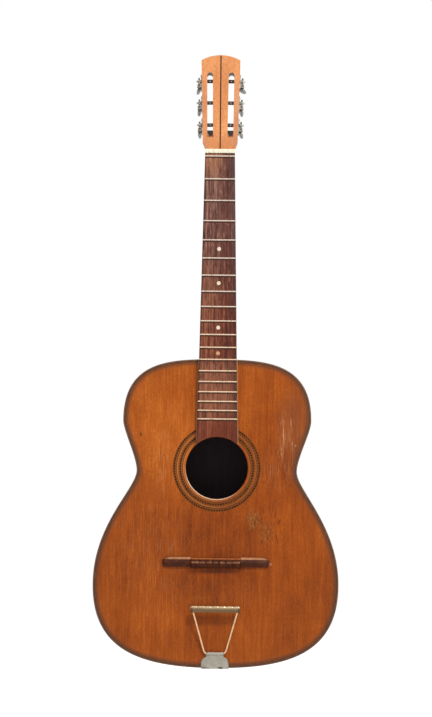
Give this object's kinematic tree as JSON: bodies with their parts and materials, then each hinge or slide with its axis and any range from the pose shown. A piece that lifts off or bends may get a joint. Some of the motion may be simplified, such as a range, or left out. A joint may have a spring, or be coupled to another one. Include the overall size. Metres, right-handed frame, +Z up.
{
  "type": "flat-top acoustic guitar",
  "caption": "Flat-top acoustic guitar without strings: slotted head with open geared tuners, round sound hole with rope rings, carved bridge and hinged trapeze tailpiece.",
  "frame": {"origin": "the zero fret on the centre line, in the plane of the soundboard's face", "axes": "+Z up the neck towards the head, +Y from the soundboard towards the back, +X towards the treble side"},
  "size_m": [0.387, 0.1198, 0.9668],
  "materials": {
    "spruce_top": "aged gloss lacquer over orange-brown stain",
    "body_wood": "satin lacquer",
    "inner_wood": "bare",
    "neck_wood": "worn satin lacquer",
    "rosewood": "oiled, worn between the frets",
    "bridge_wood": "stained dark, satin",
    "binding": "aged gloss",
    "purfling": "light and dark rope inlay under lacquer",
    "bone": "aged satin",
    "pearl": "aged gloss",
    "nickel": "worn nickel plate",
    "plate_steel": "worn nickel plate",
    "roller_steel": "darkened",
    "gear_brass": "tarnished",
    "worm_steel": "worn",
    "button_metal": "dull satin"
  },
  "bodies": {
    "guitar": {"soundboard": "spruce_top", "back_plate": "body_wood", "rib_bass": "body_wood", "rib_treble": "body_wood", "neck_block": "inner_wood", "tail_block": "inner_wood", "lining_front_bass": "inner_wood", "lining_front_treble": "inner_wood", "lining_back_bass": "inner_wood", "lining_back_treble": "inner_wood", "brace_top_upper": "inner_wood", "brace_top_waist": "inner_wood", "brace_top_bridge": "inner_wood", "brace_back_upper": "inner_wood", "brace_back_lower": "inner_wood", "binding_front": "binding", "rosette_inner": "purfling", "rosette_outer": "purfling", "neck": "neck_wood", "fingerboard_shim": "neck_wood", "fingerboard": "rosewood", "nut": "bone", "fret_dot_05": "pearl", "fret_dot_07": "pearl", "fret_dot_10": "pearl", "fret_dot_12": "pearl", "bridge": "bridge_wood", "tailpiece_plate": "nickel", "tuner_plate_bass_1": "plate_steel", "tuner_plate_bass_2": "plate_steel", "tuner_plate_bass_3": "plate_steel", "tuner_plate_treble_1": "plate_steel", "tuner_plate_treble_2": "plate_steel", "tuner_plate_treble_3": "plate_steel"},
    "key_bass_1": {"worm_bass_1": "worm_steel", "button_bass_1": "button_metal"},
    "string_roller_bass_1": {"roller_bass_1": "roller_steel", "gear_bass_1": "gear_brass"},
    "key_bass_2": {"worm_bass_2": "worm_steel", "button_bass_2": "button_metal"},
    "string_roller_bass_2": {"roller_bass_2": "roller_steel", "gear_bass_2": "gear_brass"},
    "key_bass_3": {"worm_bass_3": "worm_steel", "button_bass_3": "button_metal"},
    "string_roller_bass_3": {"roller_bass_3": "roller_steel", "gear_bass_3": "gear_brass"},
    "key_treble_1": {"worm_treble_1": "worm_steel", "button_treble_1": "button_metal"},
    "string_roller_treble_1": {"roller_treble_1": "roller_steel", "gear_treble_1": "gear_brass"},
    "key_treble_2": {"worm_treble_2": "worm_steel", "button_treble_2": "button_metal"},
    "string_roller_treble_2": {"roller_treble_2": "roller_steel", "gear_treble_2": "gear_brass"},
    "key_treble_3": {"worm_treble_3": "worm_steel", "button_treble_3": "button_metal"},
    "string_roller_treble_3": {"roller_treble_3": "roller_steel", "gear_treble_3": "gear_brass"},
    "trapeze": {"tailpiece_wire": "nickel", "tailpiece_bar": "nickel"}
  },
  "joints": [
    {"name": "key_turn_bass_1", "type": "hinge", "parent": "guitar", "child": "key_bass_1", "pos_m": [-0.03233, 0.01309, 0.04116], "axis": [0, -0.9744, 0.225], "continuous": true},
    {"name": "roller_turn_bass_1", "type": "hinge", "parent": "guitar", "child": "string_roller_bass_1", "pos_m": [-0.02811, 0.01481, 0.04862], "axis": [0.9997, 0.0054, 0.0234], "continuous": true},
    {"name": "key_turn_bass_2", "type": "hinge", "parent": "guitar", "child": "key_bass_2", "pos_m": [-0.03319, 0.02116, 0.07614], "axis": [0, -0.9744, 0.225], "continuous": true},
    {"name": "roller_turn_bass_2", "type": "hinge", "parent": "guitar", "child": "string_roller_bass_2", "pos_m": [-0.02898, 0.02288, 0.0836], "axis": [0.9997, 0.0054, 0.0234], "continuous": true},
    {"name": "key_turn_bass_3", "type": "hinge", "parent": "guitar", "child": "key_bass_3", "pos_m": [-0.03404, 0.02904, 0.11025], "axis": [0, -0.9744, 0.225], "continuous": true},
    {"name": "roller_turn_bass_3", "type": "hinge", "parent": "guitar", "child": "string_roller_bass_3", "pos_m": [-0.02982, 0.03076, 0.1177], "axis": [0.9997, 0.0054, 0.0234], "continuous": true},
    {"name": "key_turn_treble_1", "type": "hinge", "parent": "guitar", "child": "key_treble_1", "pos_m": [0.03233, 0.01309, 0.04116], "axis": [0, -0.9744, 0.225], "continuous": true},
    {"name": "roller_turn_treble_1", "type": "hinge", "parent": "guitar", "child": "string_roller_treble_1", "pos_m": [0.02811, 0.01481, 0.04862], "axis": [0.9997, -0.0054, -0.0234], "continuous": true},
    {"name": "key_turn_treble_2", "type": "hinge", "parent": "guitar", "child": "key_treble_2", "pos_m": [0.03319, 0.02116, 0.07614], "axis": [0, -0.9744, 0.225], "continuous": true},
    {"name": "roller_turn_treble_2", "type": "hinge", "parent": "guitar", "child": "string_roller_treble_2", "pos_m": [0.02898, 0.02288, 0.0836], "axis": [0.9997, -0.0054, -0.0234], "continuous": true},
    {"name": "key_turn_treble_3", "type": "hinge", "parent": "guitar", "child": "key_treble_3", "pos_m": [0.03404, 0.02904, 0.11025], "axis": [0, -0.9744, 0.225], "continuous": true},
    {"name": "roller_turn_treble_3", "type": "hinge", "parent": "guitar", "child": "string_roller_treble_3", "pos_m": [0.02982, 0.03076, 0.1177], "axis": [0.9997, -0.0054, -0.0234], "continuous": true},
    {"name": "trapeze_swing", "type": "hinge", "parent": "guitar", "child": "trapeze", "pos_m": [0, -0.003, -0.783], "axis": [1, 0, 0], "range_deg": [-6, 110]}
  ],
  "couplings": [
    {"joint": "roller_turn_bass_1", "follows": "key_turn_bass_1", "ratio": 0.071429},
    {"joint": "roller_turn_bass_2", "follows": "key_turn_bass_2", "ratio": 0.071429},
    {"joint": "roller_turn_bass_3", "follows": "key_turn_bass_3", "ratio": 0.071429},
    {"joint": "roller_turn_treble_1", "follows": "key_turn_treble_1", "ratio": 0.071429},
    {"joint": "roller_turn_treble_2", "follows": "key_turn_treble_2", "ratio": 0.071429},
    {"joint": "roller_turn_treble_3", "follows": "key_turn_treble_3", "ratio": 0.071429}
  ]
}
